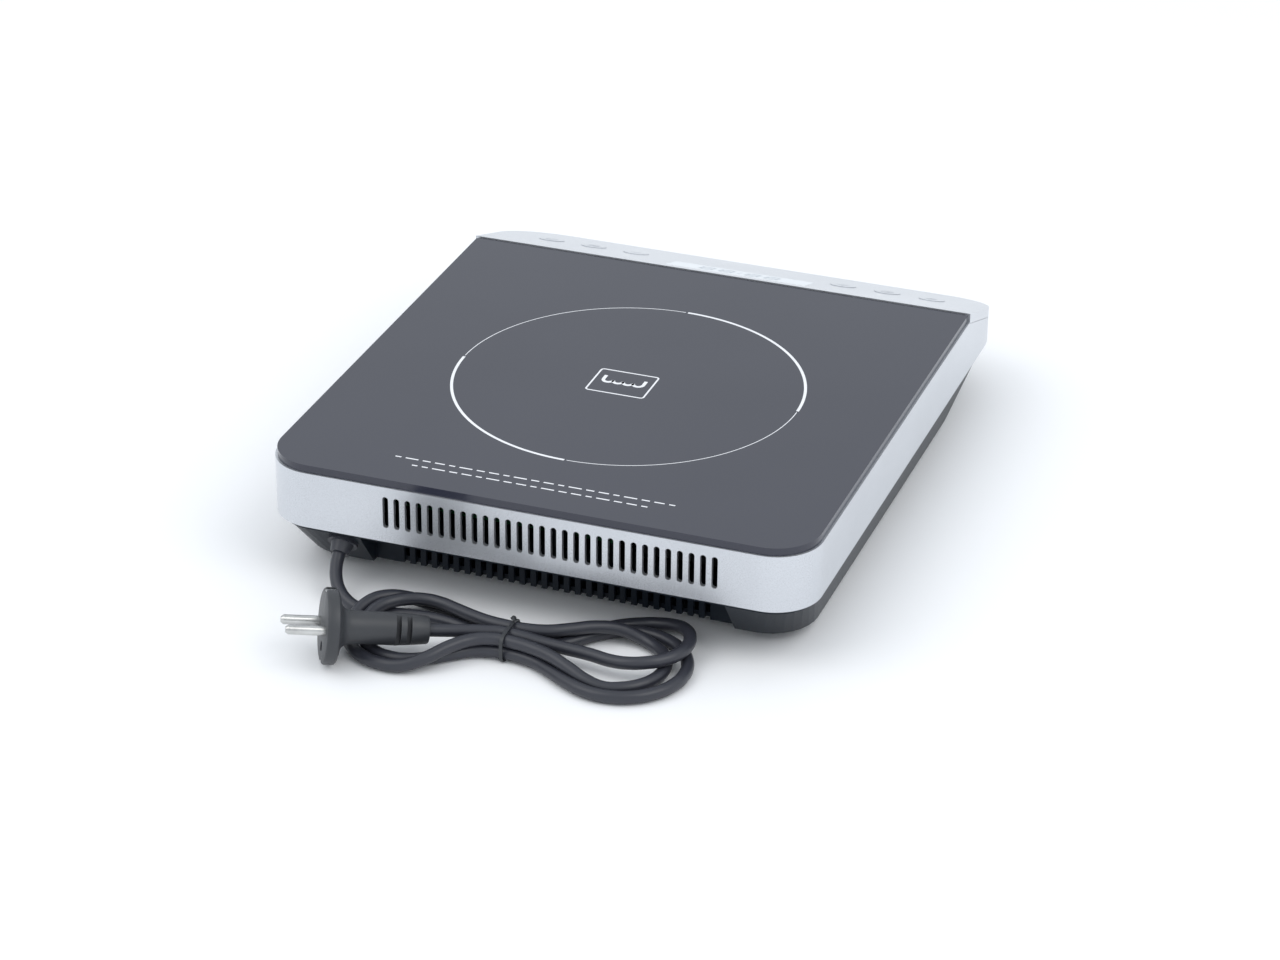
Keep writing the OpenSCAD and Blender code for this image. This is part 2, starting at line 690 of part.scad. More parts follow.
// --- control electronics under the panel ---
module control_board() {
    color([0.15, 0.38, 0.22]) on_panel() difference() {
        box(-117, 117, -60, -12, ctl_w - ctl_t, ctl_w);
        at_each(ctl_holes, ctl_w - 5) cylinder(h = 10, r = 1.6);
    }
}
module tact_switches() {
    color([0.1, 0.1, 0.1]) on_panel() for (s = [-1, 1], x = key_x) translate([s * x, key_v, ctl_w]) {
        translate([-3, -3, 0]) cube([6, 6, 2.6]);
        cylinder(h = -ctl_w - plunger_v - key_travel - 0.1, r = 1.7);
    }
}
module display_module() {
    color([0.1, 0.1, 0.1]) on_panel()
        box(window_x - 25, window_x + 25, -26.5, -12.5, ctl_w, -2.8);
}
module indicator_leds() {
    color([0.9, 0.3, 0.2]) on_panel() for (s = [-1, 1], x = key_x)
        translate([s * x, lamp_v, ctl_w]) {
            cylinder(h = 4.8, r = 1.5);
            cylinder(h = 1, r = 1.9);
        }
}
module control_screws() {
    color([0.7, 0.7, 0.72]) on_panel() at_each(ctl_holes, ctl_w - ctl_t) rotate([180, 0, 0])
        screw(2.4, 6, 5, 1.6);
}
module ribbon_cable() {
    path = [[-140, 42.6], [-136, 36], [-112, 33], [-20, 33], [2, parts_z + 7.4]];
    color([0.75, 0.75, 0.78]) translate([12, 0, 0]) rotate([90, 0, 90]) linear_extrude(20) {
        for (i = [0:len(path) - 2]) {
            step = path[i + 1] - path[i];
            translate(path[i]) rotate(atan2(step[1], step[0])) translate([-0.3, -0.4])
                square([norm(step) + 0.6, 0.8]);
        }
    }
}

// --- mains cord ---
module cord_gland() {
    color([0.09, 0.10, 0.11]) on_gland() difference() {
        union() {
            translate([0, 0, -wall - 3]) cylinder(h = 3, r = 8);
            translate([0, 0, -wall - 12]) cylinder(h = 10, r1 = 4.6, r2 = 6);
            translate([0, 0, -wall - 0.5]) cylinder(h = wall + 1, r = 6);
            cylinder(h = 1.6, r = 7.6);
            translate([0, 0, 1]) cylinder(h = gland_tip - 1, r1 = 5.9, r2 = 4.5);
        }
        translate([0, 0, -20]) cylinder(h = 40, r = cord_d / 2 + 0.05);
    }
}
// Sheathed end of the cord, from the relief's tip to inside the clamp
module cord_entry() {
    tip = [gland_x, gland_y, gland_z] + gland_dir * gland_tip;
    inner = [gland_x, gland_y, gland_z] - gland_dir * (wall + 12);
    color([0.10, 0.11, 0.12])
        tube(concat([tip], smooth([inner, [gland_x, 146, entry_z - 0.2], [gland_x, 138, entry_z],
            [gland_x, 126, entry_z]], 5)), cord_d, 12, [1, 0, 0]);
}
module cord_clamp() {
    z = entry_z + cord_d / 2 + 0.1;
    color([0.85, 0.85, 0.82]) difference() {
        box(gland_x - 15, gland_x + 15, clamp_y - 4, clamp_y + 4, z, z + 3);
        for (s = [-1, 1]) translate([gland_x + s * 11, clamp_y, z - 1]) cylinder(h = 8, r = 1.6);
    }
    color([0.7, 0.7, 0.72]) for (s = [-1, 1])
        translate([gland_x + s * 11, clamp_y, z + 3]) screw(2.7, 10, 5.2, 1.8);
}
module mains_wires() {
    for (i = [-1:1])
        color([[0.15, 0.35, 0.7], [0.45, 0.7, 0.2], [0.45, 0.3, 0.2]][i + 1])
            tube(smooth([[gland_x + i * 2, 126, entry_z + (i == 0 ? 1.4 : -1)],
                [gland_x + i * 3, 118, entry_z + 3], [98 + i * 6, 104, entry_z + 8],
                [97 + i * 7, 97, parts_z + 14], [97 + i * 7, 96, parts_z + 7]], 4),
                1.9, 8, [1, 0.1, 0]);
}
module cord_lead() {
    tip = [gland_x, gland_y, gland_z] + gland_dir * gland_tip;
    color([0.10, 0.11, 0.12]) tube(smooth(concat([tip], lead_route), 3), cord_d, 12, [1, 0, 0.2]);
}
// Closed shape of the tied strands: two lobes and a taller waist
module cord_hank() {
    color([0.12, 0.13, 0.14]) difference() {
        union() {
            prism(hank_low, 5) hull() {
                translate([46.5, 209.5]) circle(31, $fn = HULL_FN);
                translate(waist) circle(12, $fn = HULL_FN);
            }
            prism(hank_low, 13) hull() {
                translate([-57, 196]) circle(35, $fn = HULL_FN);
                translate(waist) circle(12, $fn = HULL_FN);
            }
            prism(hank_low, 17) hull() {
                translate(waist) circle(12, $fn = HULL_FN);
                translate([-24, 201]) circle(12, $fn = HULL_FN);
            }
        }
        // groove for the tie
        translate([waist[0], waist[1], 0]) difference() {
            translate([-1.8, -30, -1]) cube([3.6, 60, 30]);
            translate([-3, -10.5, 1.6]) cube([6, 21, 14]);
        }
    }
}
module cord_tail() {
    tail = plug_face - plug_dir * (plug_len + 0.3);
    color([0.10, 0.11, 0.12]) tube(smooth(concat([tail], tail_route), 3), cord_d, 12, [0, 0, 1]);
}
module cord_tie() {
    color([0.05, 0.05, 0.05]) translate([waist[0], waist[1], 0]) {
        difference() {
            translate([-1.2, -11.7, 0.4]) cube([2.4, 23.4, 16.4]);
            translate([-3, -10.5, 1.6]) cube([6, 21, 14]);
        }
        translate([0, 4, 17.05]) rotate([0, 0, 25]) translate([-0.6, -4, -0.3]) cube([1.2, 8, 1.6]);
    }
}

// --- plug ---
pin_r = 2.4;
pin_gap = 19;
module plug_body() {
    color([0.10, 0.11, 0.12]) on_plug() difference() {
        union() {
            translate([-5.5, 0, 0]) rotate([0, 90, 0]) cylinder(h = 4.5, d = plug_d);
            translate([-1, 0, 0]) rotate([0, 90, 0])
                cylinder(h = 1, r1 = plug_d / 2, r2 = plug_d / 2 - 1);
            translate([-8.5, 0, 0]) rotate([0, 90, 0]) cylinder(h = 3, r1 = 9, r2 = plug_d / 2);
            translate([-36, 0, 0]) rotate([0, 90, 0]) cylinder(h = 28, r = 8);
            translate([-plug_len, 0, 0]) rotate([0, 90, 0])
                cylinder(h = plug_len - 36, r1 = 6.6, r2 = 8);
        }
        // side channels of the flange and the socket for an earth pin
        for (s = [-1, 1]) translate([-5, -2.6, s * 19.5 - 3]) cube([6, 5.2, 6]);
        translate([-9, 0, -10]) rotate([0, 90, 0]) cylinder(h = 12, r = 2.5);
        // seats of the two pins
        for (s = [-1, 1]) translate([-8, s * pin_gap / 2, 0]) rotate([0, 90, 0])
            cylinder(h = 10, r = pin_r - 0.2);
        // flexing slots of the relief
        for (i = [0:1], s = [-1, 1])
            translate([-42 + i * 5.2, s > 0 ? 3 : -9, -9]) cube([2.4, 6, 18]);
    }
}
// The two pins and the two side earth contacts
module plug_contacts() {
    color([0.82, 0.82, 0.80]) on_plug() for (s = [-1, 1]) {
        translate([-7.9, s * pin_gap / 2, 0]) rotate([0, 90, 0])
            cylinder(h = 8.5, r = pin_r - 0.22);
        translate([0, s * pin_gap / 2, 0]) rotate([0, 90, 0]) cylinder(h = 17.6, r = pin_r);
        translate([17.6, s * pin_gap / 2, 0]) rotate([0, 90, 0])
            cylinder(h = 1.4, r1 = pin_r, r2 = 1.4);
        translate([-4.9, -2.2, s * 17.1 - 0.6]) cube([4.7, 4.4, 1.2]);
    }
}

glass_plate();
glass_seal();
top_housing();
control_panel();
display_window();
power_key();
mode_key();
minus_key();
plus_key();
timer_key();
lock_key();
light_pipes();
panel_screws();
base_tub();
rubber_feet();
case_screws();
rating_plate();
coil_carrier();
coil_winding();
ferrite_bars();
mica_sheet();
thermal_sensor();
signal_leads();
coil_pads();
coil_screws();
coil_leads();
power_board();
board_screws();
heatsink();
power_transistor();
rectifier_bridge();
film_capacitors();
bulk_capacitor();
filter_choke();
standby_transformer();
buzzer();
fuse();
mains_terminal();
coil_terminals();
board_connectors();
fan_frame();
fan_stator();
fan_rotor();
fan_screws();
control_board();
tact_switches();
display_module();
indicator_leds();
control_screws();
ribbon_cable();
cord_gland();
cord_entry();
cord_clamp();
mains_wires();
cord_lead();
cord_hank();
cord_tail();
cord_tie();
plug_body();
plug_contacts();
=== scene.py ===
import json
import math

import bmesh
import bpy
from mathutils import Matrix, Vector


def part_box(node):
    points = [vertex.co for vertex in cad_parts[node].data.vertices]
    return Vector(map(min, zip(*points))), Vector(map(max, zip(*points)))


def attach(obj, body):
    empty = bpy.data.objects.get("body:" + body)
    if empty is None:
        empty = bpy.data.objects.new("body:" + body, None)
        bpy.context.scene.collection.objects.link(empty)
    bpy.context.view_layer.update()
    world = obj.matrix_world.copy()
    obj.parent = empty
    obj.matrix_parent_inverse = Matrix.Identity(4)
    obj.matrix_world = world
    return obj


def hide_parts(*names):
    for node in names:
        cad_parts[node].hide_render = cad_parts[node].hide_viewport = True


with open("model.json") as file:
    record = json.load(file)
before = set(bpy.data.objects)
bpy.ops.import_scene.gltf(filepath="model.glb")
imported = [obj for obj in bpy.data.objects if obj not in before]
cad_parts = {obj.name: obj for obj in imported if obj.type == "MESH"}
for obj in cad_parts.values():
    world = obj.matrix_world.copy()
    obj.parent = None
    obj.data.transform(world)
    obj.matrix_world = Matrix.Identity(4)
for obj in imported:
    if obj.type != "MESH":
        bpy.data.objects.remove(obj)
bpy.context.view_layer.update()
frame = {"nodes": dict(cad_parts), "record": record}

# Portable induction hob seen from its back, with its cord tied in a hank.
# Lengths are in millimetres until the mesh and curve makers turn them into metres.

MM = 0.001
GLASS_LOW, GLASS_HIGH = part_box("glass_plate")
NODES = frame["nodes"]


# ---------------------------------------------------------------- camera
CAMERA_EYE = Vector((-0.5862, 1.6534, 0.9211))
CAMERA_AZIMUTH, CAMERA_ELEVATION, CAMERA_ROLL = 199.68, 27.88, 0.53
CAMERA_LENS = 106.3
SENSOR_WIDTH = 36.0


def place_camera():
    azimuth, elevation, roll = (
        math.radians(v) for v in (CAMERA_AZIMUTH, CAMERA_ELEVATION, CAMERA_ROLL))
    back = Vector((math.sin(azimuth) * math.cos(elevation),
                   -math.cos(azimuth) * math.cos(elevation),
                   math.sin(elevation)))
    level = Vector((0, 0, 1)).cross(back).normalized()
    right = level * math.cos(roll) + back.cross(level) * math.sin(roll)
    turn = Matrix((right, back.cross(right), back)).transposed()
    data = bpy.data.cameras.new("camera")
    data.lens = CAMERA_LENS
    data.sensor_width = SENSOR_WIDTH
    data.clip_end = 30
    camera = bpy.data.objects.new("camera", data)
    camera.matrix_world = Matrix.Translation(CAMERA_EYE) @ turn.to_4x4()
    bpy.context.scene.collection.objects.link(camera)
    bpy.context.scene.camera = camera


# ---------------------------------------------------------------- cord route
CORD_D = 6.4
GLAND_TIP = Vector((101, 171.06, 17.74))
LEAD = [(100.1, 176.4, 14.1), (97.5, 182.6, 10.3), (93.4, 187.9, 7.4), (88.1, 192, 5.3),
        (81.9, 194.6, 4), (73.6, 195.2, 3.7)]
RUN_IN = [(62, 193.6, 3.7), (50, 191.8, 3.7), (38, 191.6, 3.7), (26, 193.8, 3.7),
          (14, 198, 3.8)]
TAIL = [(9.8, 205.1, 10.9), (18, 207.9, 11), (25, 210.9, 11.3)]
PLUG_FACE = Vector((78.3, 241, 19.3))
PLUG_TURN, PLUG_TILT, PLUG_ROLL = 30, 8, 15
PLUG_LENGTH = 51
PLUG_GAP = 0.3                # the cord stops this short of the plug's boot
WAIST = Vector((-2, 203))
TAIL_LIFT = 0.3               # the tail starts this far beside and above the last strand
HOLD = 5                      # half the length that runs straight through the tie
LOW, HIGH = 4.0, 10.5         # the two layers of strands in the tie
FLOOR, OVER = 3.7, 10.1       # lying on the floor, passing over another strand
ARC_END = 105                 # a lobe's round end covers this angle each side of its tip

# Each lobe of the hank: side (-1 right in the camera's view, +1 left), centre and radius
# of its round end, the slot in the tie (y offset, height) it comes from and goes to, and
# its heights by angle, from -180 at the tie, through 0 at the tip, to 180 at the tie
LOBES = [
    (-1, (-58, 199), 31, (0, LOW), (7.2, LOW),
     [(-180, LOW), (-150, FLOOR), (150, FLOOR), (180, LOW)]),
    (1, (46, 209), 23.5, (7.2, LOW), (-6.8, HIGH),
     [(-180, LOW), (-140, FLOOR), (-62, FLOOR), (36, OVER), (120, OVER), (180, HIGH)]),
    (-1, (-54.5, 199), 24, (-6.8, HIGH), (6.8, HIGH),
     [(-180, HIGH), (-135, OVER), (-56, FLOOR), (84, FLOOR), (146, 9.8), (180, HIGH)]),
    (1, (46.5, 209.5), 30, (6.8, HIGH), (-7.2, LOW),
     [(-180, HIGH), (-152, OVER), (-92, FLOOR), (-32, FLOOR), (27, OVER), (37, OVER),
      (98, FLOOR), (150, FLOOR), (180, LOW)]),
    (-1, (-61, 183), 24, (-7.2, LOW), (0, HIGH),
     [(-180, LOW), (-150, FLOOR), (-112, FLOOR), (-18, OVER), (62, OVER), (115, 8.4),
      (150, 8.6), (180, HIGH)]),
]


def eased(knots, at):
    """Value at a place along (place, value) knots, with level joins."""
    for (a, va), (b, vb) in zip(knots, knots[1:]):
        if at <= b:
            u = max(0.0, (at - a) / (b - a))
            return va + (vb - va) * u * u * (3 - 2 * u)
    return knots[-1][1]


def hermite(p, dp, q, dq, u):
    return ((2 * u ** 3 - 3 * u ** 2 + 1) * p + (u ** 3 - 2 * u ** 2 + u) * dp
            + (3 * u ** 2 - 2 * u ** 3) * q + (u ** 3 - u ** 2) * dq)


def lobe_points(side, centre, radius, come, go, heights):
    """One lobe: out of the tie, round the arc and back into the tie."""
    centre = Vector(centre)
    flare = 4
    arc_steps = 10

    def on_arc(angle):
        a = math.radians(angle)
        return centre + radius * side * Vector((math.cos(a), -math.sin(a)))

    def along_arc(angle):
        a = math.radians(angle)
        return side * Vector((-math.sin(a), -math.cos(a)))

    plan = []
    start = WAIST + Vector((side * HOLD, come[0]))
    stop = WAIST + Vector((side * HOLD, go[0]))
    reach = (on_arc(-ARC_END) - start).length
    for i in range(flare):
        u = i / flare
        point = hermite(start, Vector((side * reach, 0)), on_arc(-ARC_END),
                        along_arc(-ARC_END) * reach, u)
        plan.append((point, -180 + (180 - ARC_END) * u))
    for i in range(arc_steps + 1):
        angle = -ARC_END + 2 * ARC_END * i / arc_steps
        plan.append((on_arc(angle), angle))
    reach = (on_arc(ARC_END) - stop).length
    for i in range(1, flare + 1):
        u = i / flare
        point = hermite(on_arc(ARC_END), along_arc(ARC_END) * reach, stop,
                        Vector((-side * reach, 0)), u)
        plan.append((point, ARC_END + (180 - ARC_END) * u))
    return [Vector((p.x, p.y, eased(heights, angle))) for p, angle in plan]


def plug_matrix():
    return (Matrix.Translation(PLUG_FACE)
            @ Matrix.Rotation(math.radians(PLUG_TURN), 4, "Z")
            @ Matrix.Rotation(math.radians(-PLUG_TILT), 4, "Y")
            @ Matrix.Rotation(math.radians(PLUG_ROLL), 4, "X"))


def cord_route():
    """The cord's centreline from the gland's tip to the plug, in millimetres."""
    points = [GLAND_TIP] + [Vector(p) for p in LEAD + RUN_IN]
    for lobe in LOBES:
        points += lobe_points(*lobe)
    points.append(Vector((WAIST.x + HOLD, WAIST.y + TAIL_LIFT, HIGH + TAIL_LIFT)))
    points += [Vector(p) for p in TAIL]
    points.append(plug_matrix() @ Vector((-PLUG_LENGTH - PLUG_GAP, 0, 0)))
    return points


def smooth_curve(name, points, diameter, sides=6):
    """Round cord of that diameter along points, all in millimetres."""
    data = bpy.data.curves.new(name, "CURVE")
    data.dimensions = "3D"
    data.bevel_depth = diameter / 2 * MM
    data.bevel_resolution = sides
    data.use_fill_caps = True
    data.resolution_u = 6
    spline = data.splines.new("BEZIER")
    spline.bezier_points.add(len(points) - 1)
    for knot, point in zip(spline.bezier_points, points):
        knot.co = Vector(point) * MM
        knot.handle_left_type = knot.handle_right_type = "AUTO"
    piece = bpy.data.objects.new(name, data)
    bpy.context.scene.collection.objects.link(piece)
    return piece


# ---------------------------------------------------------------- materials
def new_material(name):
    material = bpy.data.materials.new(name)
    material.use_nodes = True
    nodes, links = material.node_tree.nodes, material.node_tree.links
    shader = next(n for n in nodes if n.type == "BSDF_PRINCIPLED")
    return material, nodes, links, shader


def object_noise(nodes, links, scale, detail=3.0, stretch=(1, 1, 1)):
    """Noise fixed to the piece: scale is in waves per metre."""
    place = nodes.new("ShaderNodeTexCoord")
    mapping = nodes.new("ShaderNodeMapping")
    mapping.inputs["Scale"].default_value = stretch
    links.new(place.outputs["Object"], mapping.inputs["Vector"])
    texture = nodes.new("ShaderNodeTexNoise")
    texture.inputs["Scale"].default_value = scale
    texture.inputs["Detail"].default_value = detail
    links.new(mapping.outputs["Vector"], texture.inputs["Vector"])
    return texture.outputs["Fac"]


def spread(nodes, links, source, low, high, clamp_low=0.3, clamp_high=0.7):
    """The source's middle range stretched to run from low to high."""
    node = nodes.new("ShaderNodeMapRange")
    node.inputs["From Min"].default_value = clamp_low
    node.inputs["From Max"].default_value = clamp_high
    node.inputs["To Min"].default_value = low
    node.inputs["To Max"].default_value = high
    links.new(source, node.inputs["Value"])
    return node.outputs["Result"]


def tinted(nodes, links, source, dark, light):
    """Colour between dark and light, by the source."""
    node = nodes.new("ShaderNodeMix")
    node.data_type = "RGBA"
    node.inputs["A"].default_value = (*dark, 1)
    node.inputs["B"].default_value = (*light, 1)
    links.new(spread(nodes, links, source, 0, 1), node.inputs["Factor"])
    return node.outputs["Result"]


def add_bump(nodes, links, shader, source, depth):
    """Surface relief of that depth in metres."""
    node = nodes.new("ShaderNodeBump")
    node.inputs["Strength"].default_value = 1.0
    node.inputs["Distance"].default_value = depth
    links.new(source, node.inputs["Height"])
    links.new(node.outputs["Normal"], shader.inputs["Normal"])


def moulded(name, dark, light, rough=(0.45, 0.6), grain=2600, depth=0.00003, metallic=0.0,
            coat=0.0, cloud=14, stretch=(1, 1, 1), specular=0.5):
    """Moulded, painted or cast surface: clouded colour, uneven roughness and a fine grain."""
    material, nodes, links, shader = new_material(name)
    clouds = object_noise(nodes, links, cloud, 4)
    fine = object_noise(nodes, links, grain, 2, stretch)
    links.new(tinted(nodes, links, clouds, dark, light), shader.inputs["Base Color"])
    links.new(spread(nodes, links, fine, *rough), shader.inputs["Roughness"])
    shader.inputs["Metallic"].default_value = metallic
    shader.inputs["Coat Weight"].default_value = coat
    shader.inputs["Specular IOR Level"].default_value = specular
    add_bump(nodes, links, shader, fine, depth)
    return material


def glass_ceramic():
    """Black glass-ceramic: dark body, with a faint unevenness in its gloss."""
    material, nodes, links, shader = new_material("glass_ceramic")
    clouds = object_noise(nodes, links, 9, 2)
    fine = object_noise(nodes, links, 900, 2)
    links.new(tinted(nodes, links, clouds, (0.026, 0.028, 0.044), (0.031, 0.033, 0.050)),
              shader.inputs["Base Color"])
    links.new(spread(nodes, links, fine, 0.10, 0.16), shader.inputs["Roughness"])
    shader.inputs["IOR"].default_value = 1.53
    add_bump(nodes, links, shader, fine, 0.000004)
    return material


def smoked_lens():
    """Pale smoked window, glossy under a clear coat."""
    material, nodes, links, shader = new_material("smoked_lens")
    fine = object_noise(nodes, links, 700, 2)
    clouds = object_noise(nodes, links, 20, 2)
    links.new(tinted(nodes, links, clouds, (0.42, 0.50, 0.57), (0.48, 0.56, 0.63)),
              shader.inputs["Base Color"])
    links.new(spread(nodes, links, fine, 0.05, 0.09), shader.inputs["Roughness"])
    shader.inputs["Coat Weight"].default_value = 0.6
    add_bump(nodes, links, shader, fine, 0.000002)
    return material


def wound_copper():
    """Enamelled copper strands: clouded metal with a fine grain."""
    material, nodes, links, shader = new_material("wound_copper")
    fine = object_noise(nodes, links, 3200, 2, (1, 1, 3))
    clouds = object_noise(nodes, links, 60, 3)
    links.new(tinted(nodes, links, clouds, (0.42, 0.15, 0.06), (0.62, 0.26, 0.11)),
              shader.inputs["Base Color"])
    links.new(spread(nodes, links, fine, 0.28, 0.42), shader.inputs["Roughness"])
    shader.inputs["Metallic"].default_value = 0.75
    add_bump(nodes, links, shader, fine, 0.00008)
    return material


SILVER = dict(rough=(0.24, 0.35), grain=5200, depth=0.000005, metallic=0.72, coat=0.2)


# How each moulded, painted or cast slot of the record looks
LOOKS = {
    "silver_shell": dict(dark=(0.575, 0.595, 0.63), light=(0.635, 0.655, 0.69), **SILVER),
    "silver_key": dict(dark=(0.56, 0.58, 0.615), light=(0.62, 0.64, 0.675), **SILVER),
    "clear_plastic": dict(dark=(0.74, 0.76, 0.74), light=(0.82, 0.83, 0.80), rough=(0.18, 0.28)),
    "screw_steel": dict(dark=(0.42, 0.42, 0.44), light=(0.58, 0.58, 0.60), rough=(0.25, 0.40),
                        metallic=1.0, cloud=300),
    "black_shell": dict(dark=(0.010, 0.014, 0.020), light=(0.015, 0.020, 0.028),
                        rough=(0.30, 0.40), grain=3400, depth=0.00002, specular=0.16),
    "foot_rubber": dict(dark=(0.016, 0.016, 0.017), light=(0.030, 0.030, 0.031),
                        rough=(0.7, 0.85), grain=1800, depth=0.00005, specular=0.3),
    "foil_label": dict(dark=(0.50, 0.51, 0.53), light=(0.60, 0.61, 0.63), rough=(0.30, 0.42),
                       grain=4000, depth=0.000005, metallic=0.85, stretch=(1, 20, 1)),
    "cream_plastic": dict(dark=(0.70, 0.64, 0.52), light=(0.78, 0.73, 0.62), rough=(0.40, 0.52)),
    "ferrite": dict(dark=(0.030, 0.028, 0.028), light=(0.055, 0.052, 0.052), rough=(0.45, 0.65),
                    grain=1500, depth=0.00006),
    "mica": dict(dark=(0.45, 0.39, 0.28), light=(0.62, 0.56, 0.44), rough=(0.35, 0.6), grain=500,
                 depth=0.00008, cloud=80),
    "ceramic_white": dict(dark=(0.78, 0.76, 0.70), light=(0.86, 0.84, 0.78), rough=(0.2, 0.3)),
    "silicone": dict(dark=(0.030, 0.030, 0.032), light=(0.045, 0.045, 0.048), rough=(0.55, 0.7)),
    "red_insulation": dict(dark=(0.42, 0.04, 0.025), light=(0.55, 0.07, 0.04), rough=(0.3, 0.42)),
    "sleeve_white": dict(dark=(0.62, 0.60, 0.53), light=(0.78, 0.76, 0.70), rough=(0.6, 0.8),
                         grain=2400, depth=0.0001),
    "circuit_board": dict(dark=(0.012, 0.10, 0.035), light=(0.02, 0.16, 0.06), rough=(0.25, 0.4),
                          grain=900, depth=0.00002, cloud=260),
    "heatsink_aluminium": dict(dark=(0.58, 0.59, 0.61), light=(0.68, 0.69, 0.71),
                               rough=(0.28, 0.42), grain=2600, depth=0.00002, metallic=1.0,
                               stretch=(1, 30, 1)),
    "black_epoxy": dict(dark=(0.018, 0.018, 0.019), light=(0.030, 0.030, 0.032),
                        rough=(0.5, 0.65)),
    "capacitor_red": dict(dark=(0.42, 0.05, 0.03), light=(0.52, 0.08, 0.04), rough=(0.25, 0.35)),
    "capacitor_blue": dict(dark=(0.02, 0.03, 0.12), light=(0.03, 0.05, 0.18), rough=(0.22, 0.32)),
    "transformer_yellow": dict(dark=(0.60, 0.38, 0.03), light=(0.72, 0.48, 0.05),
                               rough=(0.3, 0.45)),
    "fuse_glass": dict(dark=(0.60, 0.66, 0.68), light=(0.72, 0.78, 0.80), rough=(0.06, 0.12),
                       grain=900, depth=0.000004),
    "terminal_green": dict(dark=(0.02, 0.16, 0.05), light=(0.04, 0.23, 0.08), rough=(0.35, 0.5)),
    "brass_post": dict(dark=(0.50, 0.34, 0.10), light=(0.66, 0.46, 0.16), rough=(0.25, 0.38),
                       metallic=1.0, cloud=200),
    "fan_black": dict(dark=(0.020, 0.020, 0.022), light=(0.034, 0.034, 0.037), rough=(0.4, 0.55)),
    "led_red": dict(dark=(0.45, 0.03, 0.02), light=(0.60, 0.06, 0.04), rough=(0.1, 0.18)),
    "ribbon_grey": dict(dark=(0.34, 0.34, 0.36), light=(0.46, 0.46, 0.48), rough=(0.4, 0.55),
                        grain=1600, depth=0.00006, stretch=(1, 0.05, 0.05)),
    "cord_rubber": dict(dark=(0.024, 0.026, 0.035), light=(0.033, 0.035, 0.046),
                        rough=(0.30, 0.42), grain=1900, depth=0.00002),
    "wire_insulation": dict(dark=(0.05, 0.10, 0.34), light=(0.08, 0.16, 0.42), rough=(0.3, 0.42)),
    "tie_black": dict(dark=(0.020, 0.022, 0.026), light=(0.035, 0.038, 0.043), rough=(0.3, 0.45),
                      grain=2400, depth=0.00003),
    "plug_rubber": dict(dark=(0.032, 0.034, 0.039), light=(0.042, 0.045, 0.051),
                        rough=(0.38, 0.50), grain=2600, depth=0.00003),
    "plated_brass": dict(dark=(0.50, 0.50, 0.49), light=(0.62, 0.62, 0.61), rough=(0.16, 0.30),
                         grain=1800, depth=0.00001, metallic=1.0, cloud=160, stretch=(1, 1, 12)),
}


def make_materials():
    """One material for each slot of the record, by the slot's name."""
    materials = {name: moulded(name, **look) for name, look in LOOKS.items()}
    materials["copper_litz"] = wound_copper()
    materials["glass_ceramic"] = glass_ceramic()
    materials["smoked_window"] = smoked_lens()
    return materials


def paint_nodes(materials):
    """Each CAD node gets its slot's material."""
    for part in frame["record"]["subparts"]:
        node = NODES[part["node"]]
        node.data.materials.clear()
        node.data.materials.append(materials[part["material_slot"]])


# ---------------------------------------------------------------- small makers
def add_piece(name, mesh_data, material, body="root"):
    piece = bpy.data.objects.new(name, mesh_data)
    bpy.context.scene.collection.objects.link(piece)
    piece.data.materials.append(material)
    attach(piece, body)
    return piece


def mesh_from(name, bm, matrix=None, smooth_angle=40):
    """Finished mesh in metres from a bmesh in millimetres."""
    bmesh.ops.remove_doubles(bm, verts=bm.verts, dist=0.0005)
    bmesh.ops.recalc_face_normals(bm, faces=bm.faces)
    bm.transform(Matrix.Scale(MM, 4) @ (matrix or Matrix()))
    data = bpy.data.meshes.new(name)
    bm.to_mesh(data)
    bm.free()
    data.polygons.foreach_set("use_smooth", [True] * len(data.polygons))
    data.set_sharp_from_angle(angle=math.radians(smooth_angle))
    return data


def strip(bm, path, width, low, high, closed=False):
    """Flat raised line of that width along a plan path, from z low to z high."""
    count = len(path)
    rings = []
    for i, p in enumerate(path):
        before = path[i - 1] if (closed or i) else p
        after = path[(i + 1) % count] if (closed or i < count - 1) else p
        along = (Vector(after) - Vector(before)).normalized()
        across = Vector((-along.y, along.x)) * width / 2
        left, right = Vector(p) + across, Vector(p) - across
        rings.append([bm.verts.new((q.x, q.y, z))
                      for q, z in ((left, low), (right, low), (right, high), (left, high))])
    pairs = list(zip(rings, rings[1:] + rings[:1])) if closed else list(zip(rings, rings[1:]))
    for a, b in pairs:
        for k in range(4):
            bm.faces.new((a[k], a[(k + 1) % 4], b[(k + 1) % 4], b[k]))
    if not closed:
        bm.faces.new(rings[0])
        bm.faces.new(rings[-1][::-1])


def arc(centre, radius, start, stop, steps):
    return [(centre[0] + radius * math.cos(math.radians(a)),
             centre[1] + radius * math.sin(math.radians(a)))
            for a in (start + (stop - start) * i / steps for i in range(steps + 1))]


# ---------------------------------------------------------------- prints on the glass
RING_R = 90
PRINT_H = 0.05
INK_SINK = 0.01               # how far a print reaches into what it is on


